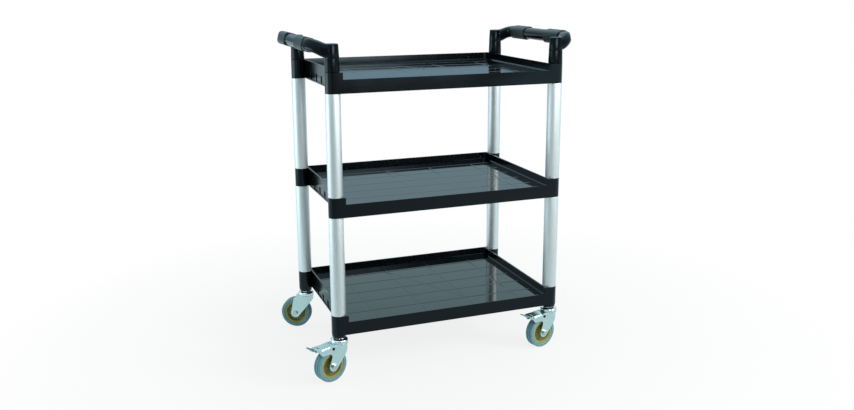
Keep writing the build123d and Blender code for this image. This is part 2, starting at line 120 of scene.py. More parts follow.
class Shader:
    """A node tree with short ways to add and join nodes."""

    # Places of the colour inputs and output of a mix node among those of its other types.
    MIX_INPUTS = (0, 6, 7)
    MIX_OUTPUT = 2

    def __init__(self, tree: bpy.types.NodeTree) -> None:
        """Start on an emptied tree."""
        self.tree = tree
        tree.nodes.clear()

    def add(self, kind: str, **settings: object) -> bpy.types.Node:
        """Add a node.

        Args:
            kind: node type without its ShaderNode prefix.
            settings: properties of the node, set by name.

        Returns:
            The new node.
        """
        node = self.tree.nodes.new(kind if kind.startswith("Node") else f"ShaderNode{kind}")
        for name, value in settings.items():
            setattr(node, name, value)
        return node

    def feed(self, target: Socket, value: object) -> None:
        """Link an input to a source socket, or give it a value.

        Args:
            target: input to feed.
            value: socket, number or colour.
        """
        if isinstance(value, Socket):
            self.tree.links.new(value, target)
        else:
            target.default_value = value

    def set(self, node: bpy.types.Node, **values: object) -> bpy.types.Node:
        """Feed inputs by name.

        Args:
            node: node whose inputs are fed.
            values: input name, with underscores for spaces, to a number, a colour or a source socket.

        Returns:
            The same node.
        """
        for name, value in values.items():
            self.feed(node.inputs[name.replace("_", " ")], value)
        return node

    def effect(self, effect: "Effect", **values: object) -> bpy.types.Node:
        """Add a shared effect's node group, feed its inputs by name and return its node."""
        return self.set(self.add("Group", node_tree=effect.group()), **values)

    def math(self, operation: str, first: object, second: object = 0.0) -> Socket:
        """Join two values by a math node.

        Args:
            operation: operation of the math node.
            first: number or socket.
            second: number or socket.

        Returns:
            The result's socket.
        """
        node = self.add("Math", operation=operation)
        for target, value in zip(node.inputs, (first, second)):
            self.feed(target, value)
        return node.outputs[0]

    def span(
        self, value: Socket, low: float, high: float, to_low: float = 0.0, to_high: float = 1.0
    ) -> Socket:
        """Map a value from one span to another, clamped.

        Args:
            value: socket to map.
            low: start of the source span.
            high: end of the source span.
            to_low: start of the target span.
            to_high: end of the target span.

        Returns:
            The mapped value's socket.
        """
        node = self.add("MapRange")
        self.set(node, Value=value, From_Min=low, From_Max=high, To_Min=to_low, To_Max=to_high)
        return node.outputs["Result"]

    def mix(self, factor: object, first: object, second: object) -> Socket:
        """Mix two colours.

        Args:
            factor: number or socket, 0 for the first colour.
            first: colour or socket.
            second: colour or socket.

        Returns:
            The mixed colour's socket.
        """
        node = self.add("Mix", data_type="RGBA")
        for index, value in zip(self.MIX_INPUTS, (factor, first, second)):
            self.feed(node.inputs[index], value)
        return node.outputs[self.MIX_OUTPUT]

    def noise(self, vector: Socket, scale: object, detail: float = 2.0) -> Socket:
        """Return the value of a noise texture of so many cells per metre and octaves."""
        return self.set(self.add("TexNoise"), Vector=vector, Scale=scale, Detail=detail).outputs[0]


class Effect(Enum):
    """Shared shader effects, each a node group made once."""

    TONE_DRIFT = "Tone drift"
    MOULD_GRAIN = "Mould grain"
    DRAWN_LINES = "Drawn lines"
    PLATE_BLOOM = "Plate bloom"
    SETTLED_DUST = "Settled dust"

    def group(self) -> bpy.types.NodeTree:
        """Return the effect's node group, made on first use."""
        made = bpy.data.node_groups.get(self.value)
        return made if made else EffectBuilder(self).build()


class EffectBuilder:
    """Builds one effect's node group."""

    # Cells per metre of the textures.
    GRAIN = 900.0
    GRAIN_PATCHES = 18.0
    LINES = (900.0, 900.0, 4.0)
    CRYSTALS = 420.0
    CLOUDS = 55.0
    SPECKS = 260.0
    # Shares of crystals and clouds in a zinc coat.
    CRYSTAL_SHARE = 0.35
    CLOUD_SHARE = 0.8
    # Spans of texture values, and of the normal's height, that become masks.
    NOISE_SPAN = (0.3, 0.7)
    BLOOM_SPAN = (0.3, 0.8)
    SPECK_SPAN = (0.5, 0.8)
    LEVEL_SPAN = (0.6, 1.0)

    def __init__(self, effect: Effect) -> None:
        """Open an empty group.

        Args:
            effect: effect to build.
        """
        self.effect = effect
        self.tree = bpy.data.node_groups.new(effect.value, "ShaderNodeTree")
        self.shader = Shader(self.tree)
        self.inlet = self.shader.add("NodeGroupInput")
        self.outlet = self.shader.add("NodeGroupOutput")

    def build(self) -> bpy.types.NodeTree:
        """Wire the group by the effect's recipe.

        Returns:
            The group.
        """
        recipes = {
            Effect.TONE_DRIFT: self._tone_drift,
            Effect.MOULD_GRAIN: self._mould_grain,
            Effect.DRAWN_LINES: self._drawn_lines,
            Effect.PLATE_BLOOM: self._plate_bloom,
            Effect.SETTLED_DUST: self._settled_dust,
        }
        recipes[self.effect]()
        return self.tree

    def _take(self, name: str, kind: str = "Float") -> Socket:
        """Declare an input of a socket type, without its NodeSocket prefix, and return its socket."""
        self.tree.interface.new_socket(name, in_out="INPUT", socket_type=f"NodeSocket{kind}")
        return self.inlet.outputs[name]

    def _give(self, name: str, source: Socket, kind: str = "Float") -> None:
        """Declare an output of a socket type, without its NodeSocket prefix, and feed it."""
        self.tree.interface.new_socket(name, in_out="OUTPUT", socket_type=f"NodeSocket{kind}")
        self.shader.feed(self.outlet.inputs[name], source)

    def _tone_drift(self) -> None:
        """Slow brightness drift of a colour, as in pigmented plastic and plate."""
        s = self.shader
        vector = self._take("Vector", "Vector")
        colour = self._take("Color", "Color")
        scale = self._take("Scale")
        amount = self._take("Amount")
        swing = s.math("SUBTRACT", s.noise(vector, scale, 3.0), 0.5)
        value = s.math("ADD", s.math("MULTIPLY", swing, s.math("MULTIPLY", amount, 2.0)), 1.0)
        shade = s.set(s.add("HueSaturation"), Color=colour, Value=value)
        self._give("Color", shade.outputs[0], "Color")

    def _mould_grain(self) -> None:
        """Fine even grain of a moulded surface as a height, and broad patches of polish as a mask."""
        s = self.shader
        vector = self._take("Vector", "Vector")
        self._give("Height", s.noise(vector, self.GRAIN))
        self._give("Mask", s.span(s.noise(vector, self.GRAIN_PATCHES), *self.NOISE_SPAN))

    def _drawn_lines(self) -> None:
        """Long faint lines along Z, as on drawn and anodised tube."""
        s = self.shader
        stretch = s.set(s.add("Mapping"), Vector=self._take("Vector", "Vector"), Scale=self.LINES)
        lines = s.noise(stretch.outputs[0], 1.0)
        self._give("Height", lines)
        self._give("Mask", s.span(lines, *self.NOISE_SPAN))

    def _plate_bloom(self) -> None:
        """Cloudy patches and small crystals of a zinc coat."""
        s = self.shader
        vector = self._take("Vector", "Vector")
        cells = s.set(s.add("TexVoronoi"), Vector=vector, Scale=self.CRYSTALS)
        crystals = s.math("MULTIPLY", cells.outputs["Distance"], self.CRYSTAL_SHARE)
        clouds = s.math("MULTIPLY", s.noise(vector, self.CLOUDS, 4.0), self.CLOUD_SHARE)
        mixed = s.math("ADD", crystals, clouds)
        self._give("Mask", s.span(mixed, *self.BLOOM_SPAN))
        self._give("Height", mixed)

    def _settled_dust(self) -> None:
        """Thin dust on faces that look up."""
        s = self.shader
        vector = self._take("Vector", "Vector")
        amount = self._take("Amount")
        normal = s.add("NewGeometry").outputs["Normal"]
        up = s.set(s.add("SeparateXYZ"), Vector=normal).outputs["Z"]
        specks = s.span(s.noise(vector, self.SPECKS, 5.0), *self.SPECK_SPAN)
        mask = s.math("MULTIPLY", s.math("MULTIPLY", s.span(up, *self.LEVEL_SPAN), specks), amount)
        self._give("Mask", mask)


class Look(NamedTuple):
    """Values of a material that a finish may vary from place to place.

    Attributes:
        colour: base colour.
        rough: roughness.
        height: height of the texture.
    """

    colour: Socket
    rough: Socket
    height: Socket


@dataclass(frozen=True)
class Finish:
    """One finish: its even values, and how strongly the shared effects show in it.

    Attributes:
        slot: record slot that the finish dresses.
        colour: base colour, linear.
        roughness: lowest and highest roughness.
        metallic: whether it is bare metal.
        drift: share of brightness drift.
        drift_scale: cells of drift per metre.
        texture: effect that gives height and the roughness mask.
        bump: distance of the texture's height.
        dust: share of dust on faces that look up.
        specular: level of reflection of a plastic.
        tint: tint of a plastic's reflection.
        word: word for the finish in the material's name.
    """

    slot: Slot
    colour: Triple
    roughness: tuple[float, float]
    metallic: bool = False
    drift: float = 0.08
    drift_scale: float = 14.0
    texture: Effect = Effect.MOULD_GRAIN
    bump: float = 0.01
    dust: float = 0.0
    specular: float = 0.5
    tint: Triple = (1.0, 1.0, 1.0)
    word: str = "finish"

    DUST_COLOUR = (0.35, 0.36, 0.36, 1.0)
    DUST_ROUGHNESS = 0.5

    def material(self) -> bpy.types.Material:
        """Return the finish's material, made on first use."""
        made = bpy.data.materials.get(self.title)
        return made if made else self._build()

    @property
    def title(self) -> str:
        """Name of the material."""
        return f"{self.slot.value}_{self.word}"

    def _build(self) -> bpy.types.Material:
        """Wire the material.

        Returns:
            The new material.
        """
        material = bpy.data.materials.new(self.title)
        material.use_nodes = True
        s = Shader(material.node_tree)
        place = s.add("TexCoord").outputs["Object"]
        drift = s.effect(Effect.TONE_DRIFT, Vector=place, Scale=self.drift_scale, Amount=self.drift)
        colour = s.set(drift, Color=(*self.colour, 1.0)).outputs["Color"]
        texture = s.effect(self.texture, Vector=place)
        rough = s.span(texture.outputs["Mask"], 0.0, 1.0, *self.roughness)
        if self.dust:
            dust = s.effect(Effect.SETTLED_DUST, Vector=place, Amount=self.dust).outputs["Mask"]
            colour = s.mix(dust, colour, self.DUST_COLOUR)
            rough = s.math("ADD", rough, s.math("MULTIPLY", dust, self.DUST_ROUGHNESS))
        look = self._detail(s, place, Look(colour, rough, texture.outputs["Height"]))
        bump = s.set(s.add("Bump"), Height=look.height, Distance=self.bump * MM)
        body = s.set(
            s.add("BsdfPrincipled"),
            Base_Color=look.colour,
            Roughness=look.rough,
            Metallic=float(self.metallic),
            Normal=bump.outputs[0],
            Specular_IOR_Level=self.specular,
            Specular_Tint=(*self.tint, 1.0),
        )
        s.set(s.add("OutputMaterial"), Surface=body.outputs[0])
        return material

    def _detail(self, s: Shader, place: Socket, look: Look) -> Look:
        """Return the look as it is: a plain finish has no places of its own."""
        return look


@dataclass(frozen=True)
class GripFinish(Finish):
    """Finish of a push handle: satin, with two duller bands of coarser grain on the grip.

    Attributes:
        band: distances from the cart's middle between which the bands lie.
        edge: width of a band's edge.
        shade: colour of the bands.
        dullness: roughness added in the bands.
        coarseness: times the grain is higher in the bands.
    """

    band: tuple[float, float] = (58.9, 142.9)
    edge: float = 1.5
    shade: Triple = (0.056, 0.066, 0.07)
    dullness: float = 0.22
    coarseness: float = 5.0

    def _detail(self, s: Shader, place: Socket, look: Look) -> Look:
        """Lighten and dull the bands and raise their grain, by the distance along Y from the middle.

        Args:
            s: tree of the material.
            place: object coordinates.
            look: look of the satin.

        Returns:
            The look with the bands.
        """
        away = s.math("ABSOLUTE", s.set(s.add("SeparateXYZ"), Vector=place).outputs["Y"])
        near, far = (limit * MM for limit in self.band)
        half = self.edge / 2 * MM
        rise = s.span(away, near - half, near + half)
        mask = s.math("MULTIPLY", rise, s.span(away, far - half, far + half, 1.0, 0.0))
        colour = s.mix(mask, look.colour, (*self.shade, 1.0))
        rough = s.math("ADD", look.rough, s.math("MULTIPLY", mask, self.dullness))
        gain = s.span(mask, 0.0, 1.0, 1.0, self.coarseness)
        return Look(colour, rough, s.math("MULTIPLY", look.height, gain))


@dataclass(frozen=True)
class PaintedShadeDishFinish(Finish):
    """Finish of a wheel hub: moulded plastic, with painted shade in the dish.

    Attributes:
        painted_shade: colour of the painted shade in the dish.
        cover: share of the dish's colour that the painted shade takes.
        patches: cells of patchy painted shade per metre.
        thinnest: share of the cover that the faintest patches of painted shade have.
    """

    painted_shade: Triple = (0.03, 0.026, 0.006)
    cover: float = 0.62
    patches: float = 90.0
    thinnest: float = 0.8

    RECESS = "recess"

    def _detail(self, s: Shader, place: Socket, look: Look) -> Look:
        """Paint shade into the colour, darker with the mesh's own measure of depth below the rim's face, in
        patches.

        Args:
            s: tree of the material.
            place: object coordinates.
            look: look of the plastic.

        Returns:
            The look with painted shade in the dish.
        """
        # Painted shade: the colour is darkened deeper in the dish, standing in for the shadow that falls
        # there.
        depth = s.add("Attribute", attribute_name=self.RECESS).outputs["Fac"]
        patches = s.noise(place, self.patches, 3.0)
        patches = s.span(patches, *EffectBuilder.NOISE_SPAN, self.thinnest, 1.0)
        share = s.math("MULTIPLY", s.math("MULTIPLY", depth, patches), self.cover)
        return look._replace(colour=s.mix(share, look.colour, (*self.painted_shade, 1.0)))


BLACK = (0.003, 0.0035, 0.004)
COOL = (0.66, 0.88, 1.0)
FINISHES = {
    finish.slot: finish
    for finish in (
        Finish(Slot.SHELF, BLACK, (0.13, 0.19), bump=0.003, specular=0.35, tint=COOL),
        GripFinish(Slot.HANDLE, BLACK, (0.14, 0.2), bump=0.006, specular=0.24, tint=(0.7, 0.9, 1.0)),
        Finish(Slot.SOCKET, (0.003, 0.003, 0.0035), (0.18, 0.26), bump=0.006, specular=0.3),
        Finish(Slot.TUBE, (0.84, 0.87, 0.86), (0.48, 0.54), True, 0.02, 6.0, Effect.DRAWN_LINES, 0.0004),
        Finish(Slot.BRIGHT, (0.80, 0.84, 0.85), (0.07, 0.12), True, 0.03, 60.0, Effect.PLATE_BLOOM, 0.001),
        Finish(Slot.ZINC, (0.62, 0.75, 0.73), (0.2, 0.28), True, 0.06, 40.0, Effect.PLATE_BLOOM, 0.002),
        Finish(
            Slot.FASTENER, (0.56, 0.62, 0.62), (0.18, 0.26), True, 0.05, 80.0, Effect.PLATE_BLOOM, 0.002
        ),
        # The hub's finish paints shade into its dish.
        PaintedShadeDishFinish(Slot.HUB, (0.42, 0.385, 0.09), (0.36, 0.46), drift=0.10, drift_scale=45.0, bump=0.012),
        Finish(Slot.TYRE, (0.195, 0.38, 0.42), (0.42, 0.55), drift=0.06, drift_scale=60.0, bump=0.02),
    )
}
SATIN_GRIP = FINISHES[Slot.HANDLE]
POLISHED_FLOOR = Finish(
    Slot.SHELF, BLACK, (0.05, 0.09), bump=0.001, dust=0.02, specular=0.35, tint=COOL, word="polished_floor"
)
BURNISHED_RIVET = Finish(
    Slot.FASTENER,
    (0.05, 0.055, 0.055),
    (0.3, 0.4),
    True,
    0.1,
    90.0,
    Effect.PLATE_BLOOM,
    0.002,
    word="burnished",
)


# Surfaces

# Radius at which a section that reaches the axis is closed.
POLE = 0.02
# Distance, in metres, below which an edge counts as none.
SLIVER = 1e-8


def rounded_loop(corners: Section, steps: int = 7) -> np.ndarray:
    """Round the corners of a closed outline.

    Each corner becomes a rational quadratic curve from the point where its fillet leaves one side to the
    point where it joins the next, with the sine of half the corner's angle as the middle weight, which is a
    true arc.

    Args:
        corners: outline.
        steps: points on each fillet.

    Returns:
        Points of the loop, two columns.
    """
    table = np.array(corners, float)
    peak, fillet = table[:, :2], table[:, 2]
    back = np.roll(peak, 1, 0) - peak
    ahead = np.roll(peak, -1, 0) - peak
    back /= np.linalg.norm(back, axis=1, keepdims=True)
    ahead /= np.linalg.norm(ahead, axis=1, keepdims=True)
    half = np.arccos(np.clip((back * ahead).sum(1), -1.0, 1.0)) / 2
    cut = (fillet / np.tan(half))[:, None, None]
    start, end = peak[:, None] + back[:, None] * cut, peak[:, None] + ahead[:, None] * cut
    t = np.linspace(0.0, 1.0, steps)[None, :, None]
    middle = 2 * t * (1 - t) * np.sin(half)[:, None, None]
    curve = ((1 - t) ** 2 * start + middle * peak[:, None] + t**2 * end) / ((1 - t) ** 2 + middle + t**2)
    return curve.reshape(-1, 2)


def revolved(section: Section, origin: Vector, axis: Vector, segments: int) -> np.ndarray:
    """Turn an outline with rounded corners about an axis.

    A point is the origin plus its height along the axis plus its radius in the turning direction, which is
    the cosine and sine of the angle on two directions across the axis.

    Args:
        section: outline.
        origin: point of the axis at height 0, in metres.
        axis: direction of the axis.
        segments: steps round the axis.

    Returns:
        Grid of points, in metres, that closes both ways.
    """
    loop = rounded_loop(section)
    along = np.array(axis.normalized())
    first = np.array(axis.normalized().orthogonal().normalized())
    second = np.cross(along, first)
    angle = np.linspace(0.0, 2 * np.pi, segments, endpoint=False)[:, None]
    turn = np.cos(angle) * first + np.sin(angle) * second
    points = loop[:, 0, None, None] * turn[None] + loop[:, 1, None, None] * along
    return np.array(origin) + points * MM


def mirrored(upper: Section) -> Section:
    """Return half an outline followed by its mirror image below height 0."""
    return upper + [(radius, -height, fillet) for radius, height, fillet in reversed(upper)]


def smooth_step(value: np.ndarray, low: float, high: float) -> np.ndarray:
    """Rise from 0 to 1 between two values with level ends."""
    t = np.clip((value - low) / (high - low), 0.0, 1.0)
    return t * t * (3.0 - 2.0 * t)


def evenly(count: int, pitch: float) -> np.ndarray:
    """Return that many places at one pitch, centred on 0."""
    return (np.arange(count) - (count - 1) / 2) * pitch


def placed(name: str, data: bpy.types.ID) -> Object:
    """Put data into the scene.

    Args:
        name: name of the object.
        data: mesh, lamp or camera.

    Returns:
        The new object, at the origin.
    """
    made = bpy.data.objects.new(name, data)
    bpy.context.scene.collection.objects.link(made)
    return made


def cleaned(mesh: bpy.types.Mesh, merge: float, sharp: float, flat: float | None = None) -> bpy.types.Mesh:
    """Merge close points, drop needless edges, turn faces outwards and shade smooth.

    Args:
        mesh: mesh to clean.
        merge: distance, in metres, below which points are one.
        sharp: angle above which an edge stays crisp.
        flat: angle below which an edge is dropped, or none to drop slivers only.

    Returns:
        The same mesh.
    """
    clean = bmesh.new()
    clean.from_mesh(mesh)
    bmesh.ops.remove_doubles(clean, verts=clean.verts, dist=merge)
    if flat is None:
        bmesh.ops.dissolve_degenerate(clean, edges=clean.edges, dist=SLIVER)
    else:
        bmesh.ops.dissolve_limit(clean, angle_limit=flat, verts=clean.verts, edges=clean.edges)
    bmesh.ops.recalc_face_normals(clean, faces=clean.faces)
    clean.to_mesh(mesh)
    clean.free()
    mesh.shade_smooth()
    mesh.set_sharp_from_angle(angle=sharp)
    return mesh


class Shell:
    """Points and faces gathered from gridded surfaces, made into one mesh."""

    MERGE = 1e-7

    def __init__(self) -> None:
        """Start empty."""
        self._points: list[np.ndarray] = []
        self._faces: list[np.ndarray] = []
        self._count = 0

    def add(self, grid: np.ndarray, wrap_rows: bool = False, wrap_columns: bool = False) -> "Shell":
        """Add a gridded surface.

        Args:
            grid: points, rows by columns by three.
            wrap_rows: join the last row to the first.
            wrap_columns: join the last column to the first.

        Returns:
            This shell.
        """
        rows, columns = grid.shape[:2]
        index = np.arange(rows * columns).reshape(rows, columns) + self._count
        index = np.vstack([index, index[:1]]) if wrap_rows else index
        index = np.hstack([index, index[:, :1]]) if wrap_columns else index
        quads = np.stack([index[:-1, :-1], index[1:, :-1], index[1:, 1:], index[:-1, 1:]], -1)
        self._points.append(grid.reshape(-1, 3))
        self._faces.append(quads.reshape(-1, 4))
        self._count += rows * columns
        return self

    def turn(self, section: Section, origin: Vector, axis: Vector, segments: int = 96) -> "Shell":
        """Add an outline turned about an axis, as revolved makes it, and return this shell."""
        return self.add(revolved(section, origin, axis, segments), True, True)

    def build(self, name: str, crisp: Crisp = Crisp.PLAIN) -> Object:
        """Make the mesh object, with poles and seams merged and faces turned outwards.

        Args:
            name: name of the object.
            crisp: which edges stay crisp.

        Returns:
            The new object, linked to the scene.
        """
        mesh = bpy.data.meshes.new(name)
        mesh.from_pydata(np.vstack(self._points).tolist(), [], np.vstack(self._faces).tolist())
        return placed(name, cleaned(mesh, self.MERGE, math.radians(crisp.value)))


def register(piece: Object, slot: Slot, body: str, *nodes: str, finish: Finish | None = None) -> Object:
    """Dress a piece, tie it to its body and let it stand for CAD nodes.

    Args:
        piece: finished piece.
        slot: slot of its finish.
        body: CAD body that it rides on.
        nodes: CAD nodes that it replaces.
        finish: finish, where it isn't the slot's usual one.

    Returns:
        The same piece.
    """
    piece.data.materials.clear()
    piece.data.materials.append((finish or FINISHES[slot]).material())
    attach(piece, body)
    if nodes:
        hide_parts(*nodes)
    LOG.info("%s: %d faces, %s on %s", piece.name, len(piece.data.polygons), slot.value, body)
    return piece


@dataclass
class SoftSolid:
    """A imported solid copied, merged and given small round edges.

    Attributes:
        node: CAD node that is copied.
        slot: slot of its finish.
        body: CAD body that it rides on.
        edge: width of the round edges.
        steps: faces across a round edge.
    """

    node: str
    slot: Slot
    body: str
    edge: float
    steps: int = 3

    MERGE = 1e-6
    FLAT = math.radians(0.3)
    EDGE_ANGLE = math.radians(35.0)

    def build(self) -> Object:
        """Copy and soften the solid.

        Returns:
            The softened copy, which replaces its node.
        """
        name = f"{self.node}_soft"
        mesh = frame["nodes"][self.node].data.copy()
        mesh.name = name
        imported = mesh.attributes.get("custom_normal")
        if imported:
            mesh.attributes.remove(imported)
        piece = placed(name, cleaned(mesh, self.MERGE, self.EDGE_ANGLE, self.FLAT))
        soften = piece.modifiers.new("round edges", "BEVEL")
        soften.width = self.edge * MM
        soften.segments = self.steps
        soften.limit_method = "ANGLE"
        soften.angle_limit = self.EDGE_ANGLE
        soften.harden_normals = True
        return register(piece, self.slot, self.body, self.node)


# The cart


@dataclass
class TubePost:
    """One tube between two shelves.

    Attributes:
        node: CAD node of the tube.
        outer: outer radius.
        wall: wall thickness.
        edge: round on the cut ends.
    """

    node: str
    outer: float = 19.0
    wall: float = 1.5
    edge: float = 0.5

    def build(self) -> Object:
        """Turn the tube's wall section, a loop of two walls and two rounded ends, about the post's axis.

        Returns:
            The tube, which replaces its node.
        """
        low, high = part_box(self.node)
        base = Vector(((low.x + high.x) / 2, (low.y + high.y) / 2, low.z))
        length = (high.z - low.z) / MM
        inner = self.outer - self.wall
        ends = ((self.outer, 0.0), (self.outer, length), (inner, length), (inner, 0.0))
        shell = Shell().turn([(*end, self.edge) for end in ends], base, UP)
        return register(shell.build(f"{self.node}_tube"), Slot.TUBE, "frame", self.node)


@dataclass
class PushHandle:
    """One push handle: round-bend arms and a grip with two raised bands, on two legs.

    Attributes:
        side: end of the cart.
        leg_x: distance of the legs from the middle.
        leg_y: distance of the legs from the middle.
        base: height of the legs' feet.
        leg_height: height of the legs.
        foot: radius of a leg at its foot.
        neck: radius of a leg under its head.
        hollow: radius of a leg's hollow, which takes a spigot.
        groove: bevel round the foot.
        head_foot: radius of a head's foot.
        head_top: radius of a head's top.
        head_height: height of a head.
        dome: height of the dome on a head.
        offset: distance of the grip outside the legs.
        rise: height of the grip above the arms' roots.
        level_root: distance from a leg's axis over which an arm stays level.
        width: width of the grip's section.
        height: height of the grip's section.
        band: length of a raised band.
        step: height of a raised band above the grip.
        squareness: power of the superellipse of the arms and bands.
        grip_squareness: power of the superellipse of the grip between its bands.
        arm_width: width of an arm at its head.
        arm_depth: depth of an arm at its head.
        arm_taper: length over which an arm takes on the grip's section.
        slope: length of the slope at each end of a band.
    """

    side: Side
    leg_x: float = 306.0
    leg_y: float = 189.0
    base: float = 798.0
    leg_height: float = 69.0
    foot: float = 19.0
    neck: float = 17.3
    hollow: float = 13.4
    groove: float = 1.6
    head_foot: float = 18.3
    head_top: float = 16.4
    head_height: float = 36.0
    dome: float = 0.5
    offset: float = 46.1
    rise: float = 11.0
    level_root: float = 11.0
    width: float = 32.0
    height: float = 32.0
    band: float = 84.0
    step: float = 2.0
    squareness: float = 3.4
    grip_squareness: float = 2.3
    arm_width: float = 30.4
    arm_depth: float = 36.0
    arm_taper: float = 40.0
    slope: float = 2.8

    # Length of an arm's end inside its head, and the share of its height that is left there.
    HIDDEN_END = 10.0
    END_HEIGHT = 0.9
    # Counts of points round the section and of stations, and reach of the close ones in slope lengths.
    ROUND = 96
    STATIONS = 260
    END_STATIONS = 24
    SLOPE_STATIONS = 17
    SLOPE_REACH = 1.2

    def build(self) -> Object:
        """Gather arms, grip, legs and heads into one moulding.

        Returns:
            The handle, which replaces its CAD node.
        """
        shell = Shell().add(self._bow(), wrap_columns=True)
        for y in (-self.leg_y, self.leg_y):
            foot = Vector((self.side.value * self.leg_x, y, self.base)) * MM
            shell.turn(self._leg(), foot, UP).turn(self._head(), foot, UP)
        node = f"{self.side.name.lower()}_handle"
        return register(shell.build(f"{node}_moulding", Crisp.MOULDED), Slot.HANDLE, "frame", node)

    def _path(self, s: np.ndarray) -> tuple[np.ndarray, np.ndarray, np.ndarray]:
        """Plan of the arms and the grip: a quarter circle, a straight and a quarter circle.

        Args:
            s: distance along the line from the first leg's axis.

        Returns:
            Place along the cart, place across it and heading, 0 straight out and a right angle along the
            grip.
        """
        bend = self.offset
        arc = bend * np.pi / 2
        straight = 2 * (self.leg_y - bend)
        first = np.clip(s, 0.0, arc) / bend
        last = np.clip(s - arc - straight, 0.0, arc) / bend
        along = np.clip(s - arc, 0.0, straight)
        before, after = np.minimum(s, 0.0), np.maximum(s - 2 * arc - straight, 0.0)
        x = bend * np.sin(first) - bend * (1 - np.cos(last)) + before - after
        y = -self.leg_y + bend * (1 - np.cos(first)) + along + bend * np.sin(last)
        return x, y, first + last

    def _stations(self, arc: float, total: float) -> np.ndarray:
        """Distances along the line at which sections stand, close together at the ends and the slopes.

        Args:
            arc: length of a bend.
            total: length from one leg's axis to the other's.

        Returns:
            Rising distances from the first leg's axis, with the hidden ends beyond both axes.
        """
        ends = self.HIDDEN_END * np.sin(np.linspace(0.0, np.pi / 2, self.END_STATIONS))
        slopes = np.array([arc, arc + self.band, total - arc - self.band, total - arc])
        near = np.linspace(-self.SLOPE_REACH, self.SLOPE_REACH, self.SLOPE_STATIONS) * self.slope
        even = np.linspace(0.0, total, self.STATIONS)[1:-1]
        along = np.unique(np.concatenate([even, (slopes[:, None] + near).ravel()]))
        return np.concatenate([-ends[::-1], along, total + ends])

    def _bow(self) -> np.ndarray:
        """Arms and grip: a superellipse carried along the line, tilted up outwards, swollen at two bands.

        The line leaves the heads level and rises to the grip as a smooth step of the distance outwards.
        Behind each leg's axis the width shrinks as a half circle and the height by a tenth, so both ends
        close inside the heads.

        Returns:
            Grid of stations by section points.
        """
        arc, straight = self.offset * np.pi / 2, 2 * (self.leg_y - self.offset)
        total = 2 * arc + straight
        s = self._stations(arc, total)
        x, y, heading = self._path(s)
        beyond = np.clip(np.maximum(-s, s - total) / self.HIDDEN_END, 0.0, 1.0)
        close = np.sqrt(1.0 - beyond**2)
        from_middle, half = np.abs(s - total / 2), self.slope / 2
        inner, outer = straight / 2 - self.band, straight / 2
        aside = smooth_step(from_middle, inner - half, inner + half)
        swell = self.step * aside * (1.0 - smooth_step(from_middle, outer - half, outer + half))
        lift = self.rise * smooth_step(x, self.level_root, self.offset)
        root = 1.0 - smooth_step(np.minimum(s, total - s), 0.0, self.arm_taper)
        spread = (self.arm_width - self.width) / 2 * root
        deepen = (self.arm_depth - self.height) / 2 * root
        power = 2.0 / (self.grip_squareness + (self.squareness - self.grip_squareness) * aside)
        angle = np.linspace(0.0, 2 * np.pi, self.ROUND, endpoint=False)
        wide = np.sign(np.cos(angle)) * np.abs(np.cos(angle)) ** power[:, None]
        tall = np.sign(np.sin(angle)) * np.abs(np.sin(angle)) ** power[:, None]
        shrink = (self.END_HEIGHT + (1.0 - self.END_HEIGHT) * close) * (close > 0)
        half_width = ((self.width / 2 + swell + spread) * close)[:, None] * wide
        half_height = ((self.height / 2 + swell + deepen) * shrink)[:, None] * tall
        outward = np.sin(heading)[:, None] * half_width
        forward = -np.cos(heading)[:, None] * half_width
        level = self.base + self.leg_height - self.height / 2 - deepen + lift
        tilt = math.atan2(self.rise, self.offset)
        across = outward * math.cos(tilt) - half_height * math.sin(tilt)
        upward = outward * math.sin(tilt) + half_height * math.cos(tilt)
        place_x = self.side.value * (self.leg_x + x[:, None] + across)
        return np.stack([place_x, y[:, None] + forward, level[:, None] + upward], -1) * MM

    def _leg(self) -> Section:
        """Section of a leg from its foot up: tapered, with a bevelled foot and a hollow for its spigot.

        Returns:
            The outline.
        """
        top = self.leg_height - self.head_height / 2
        return [
            (self.hollow, 0.0, 0.3),
            (self.foot - self.groove, 0.0, 0.4),
            (self.foot, self.groove, 0.6),
            (self.neck, top, 0.5),
            (self.hollow, top, 0.5),
        ]

    def _head(self) -> Section:
        """Section of a head, with heights from the leg's foot: a tapered drum with a slightly domed top.

        Returns:
            The outline.
        """
        low = self.leg_height - self.head_height
        return [
            (POLE, low, 0.0),
            (self.head_foot, low, 0.8),
            (self.head_top, self.leg_height - self.dome, 2.6),
            (POLE, self.leg_height, 0.0),
        ]


